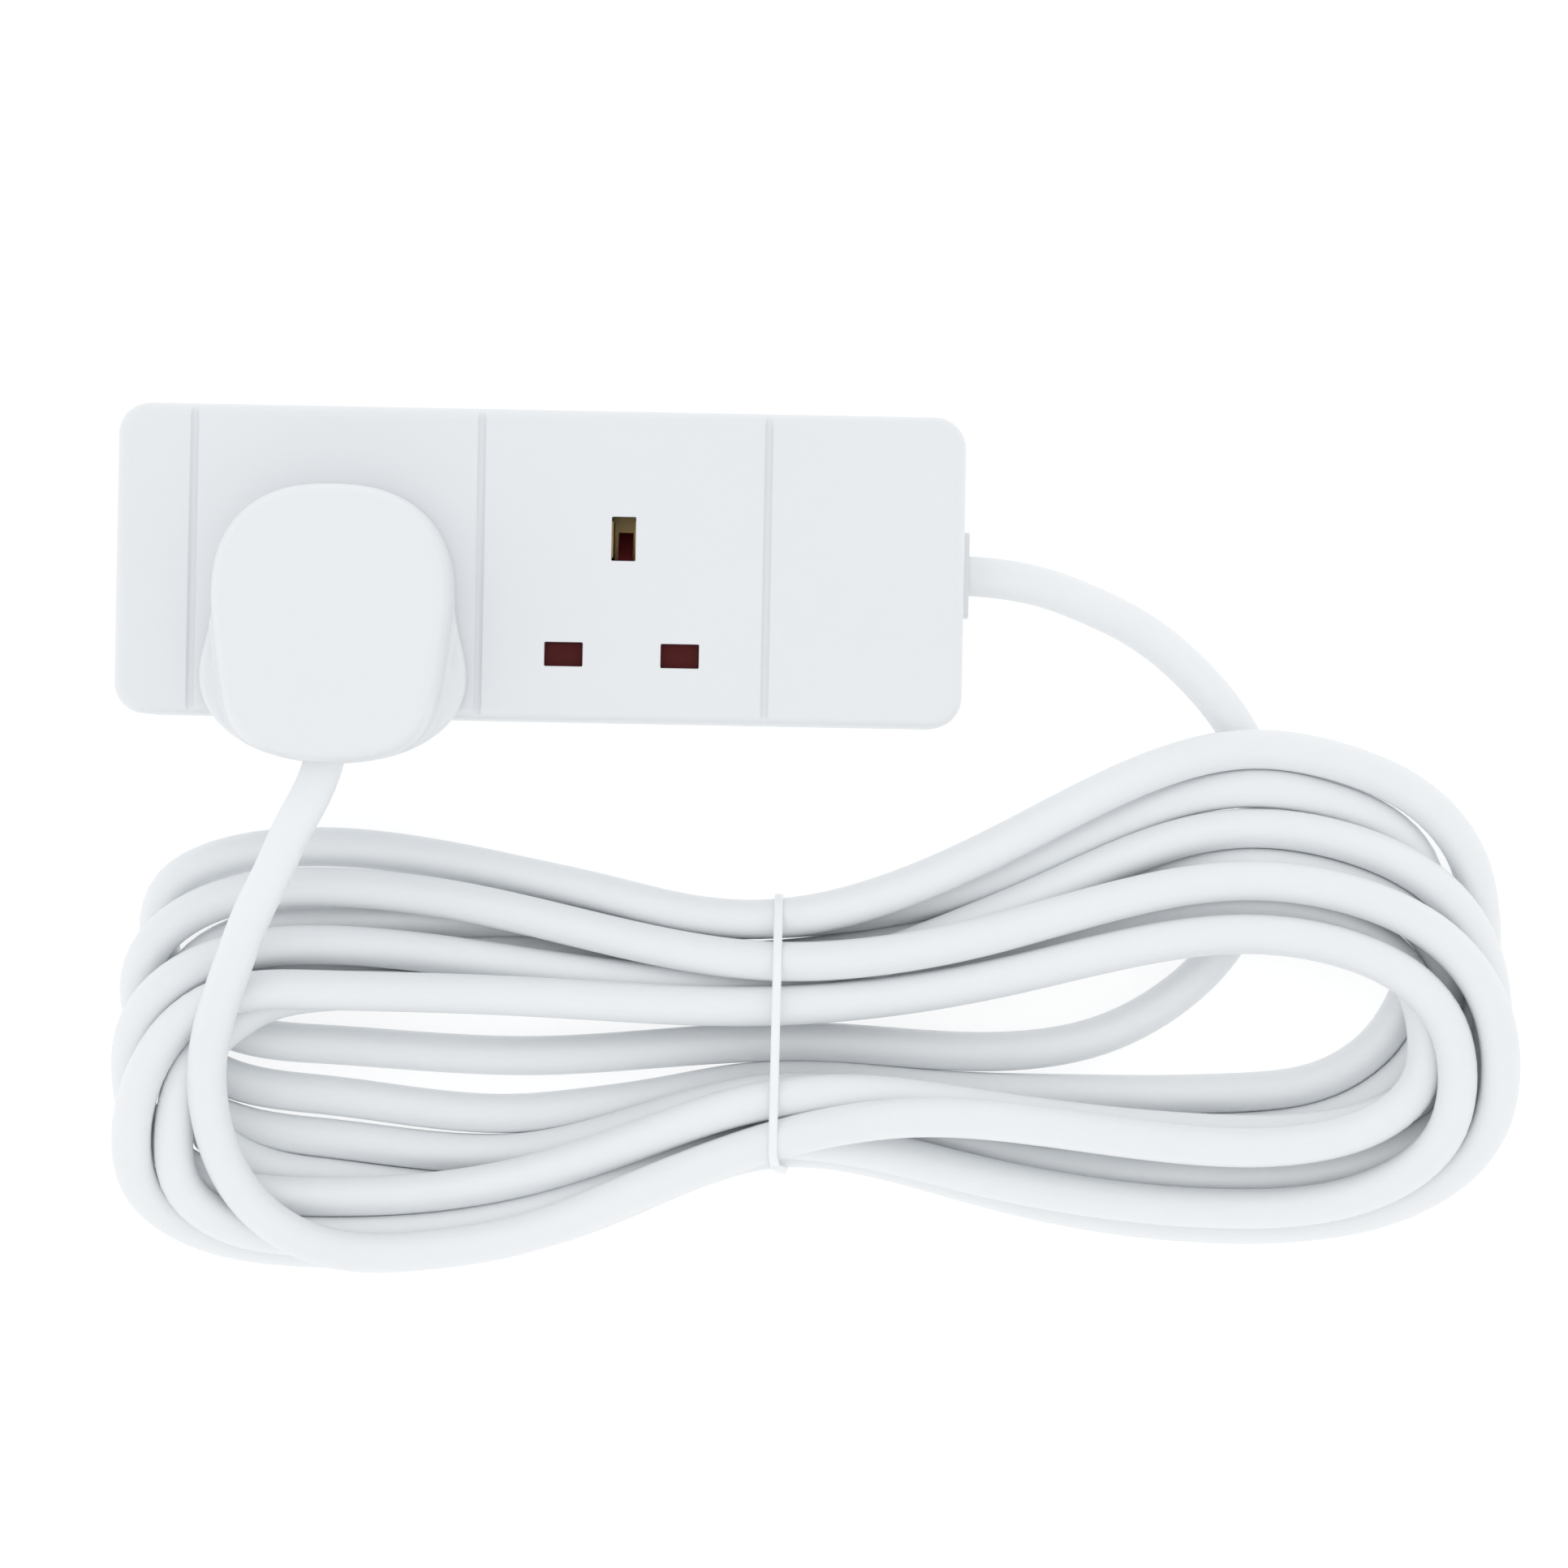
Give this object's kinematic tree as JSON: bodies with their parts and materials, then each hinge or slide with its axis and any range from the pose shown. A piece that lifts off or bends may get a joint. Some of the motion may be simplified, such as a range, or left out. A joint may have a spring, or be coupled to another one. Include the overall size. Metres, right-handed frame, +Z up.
{
  "type": "extension cord",
  "caption": "Mains extension cord: a flat socket block with shuttered three-pin sockets, a long round flex folded and tied in a hank, and its moulded fused plug pushed into the block.",
  "frame": {"origin": "middle of the socket block's flat underside", "axes": "+Z up out of the socket faces, +X along the block towards the end that the flex leaves from, +Y across the block away from the hank"},
  "size_m": [0.2695, 0.1655, 0.059],
  "materials": {
    "block_white": "moulded, satin gloss",
    "base_white": "fine moulded grain",
    "plug_white": "soft moulded vinyl",
    "flex_white": "smooth vinyl sheath",
    "tie_white": "smooth flat strip",
    "shutter_red": "moulded",
    "inner_white": "moulded",
    "brass": "stamped",
    "copper": "stranded copper",
    "steel": "zinc plated",
    "sleeve_black": "moulded",
    "core_brown": "smooth vinyl",
    "core_blue": "smooth vinyl",
    "core_green_yellow": "smooth vinyl, two-colour stripe",
    "fuse_ceramic": "glazed"
  },
  "bodies": {
    "block": {"top_cover": "block_white", "base_cover": "base_white", "cover_screws": "steel", "shutter_left": "shutter_red", "shutter_spring_left": "steel", "shutter_spring_right": "steel", "contact_carrier": "inner_white", "live_busbar": "brass", "neutral_busbar": "brass", "earth_busbar": "brass", "terminal_screws": "steel", "cord_clamp": "inner_white", "cord_clamp_screws": "steel", "cable_grommet": "block_white", "core_brown": "core_brown", "core_blue": "core_blue", "core_green_yellow": "core_green_yellow", "conductor_ends": "copper", "flex_from_block": "flex_white", "flex_hank": "flex_white", "flex_to_plug": "flex_white", "hank_tie": "tie_white"},
    "shutter": {"shutter_right": "shutter_red"},
    "plug": {"flex_plug_end": "flex_white", "plug_moulding": "plug_white", "pin_carrier": "inner_white", "live_pin": "brass", "neutral_pin": "brass", "earth_pin": "brass", "pin_sleeves": "sleeve_black", "fuse_carrier": "inner_white", "fuse_barrel": "fuse_ceramic", "fuse_caps": "steel", "fuse_clips": "brass", "fuse_link": "brass", "plug_core_brown": "core_brown", "plug_core_blue": "core_blue", "plug_core_green_yellow": "core_green_yellow", "core_crimps": "steel"}
  },
  "joints": [
    {"name": "plug_pull", "type": "slide", "parent": "block", "child": "plug", "axis": [0, 0, 1], "range_m": [0, 0.03]},
    {"name": "shutter_slide", "type": "slide", "parent": "block", "child": "shutter", "axis": [0, -1, 0], "range_m": [0, 0.006], "stiffness_N_per_m": 60, "springref_m": -0.004, "deforming": ["shutter_spring_right"]}
  ]
}
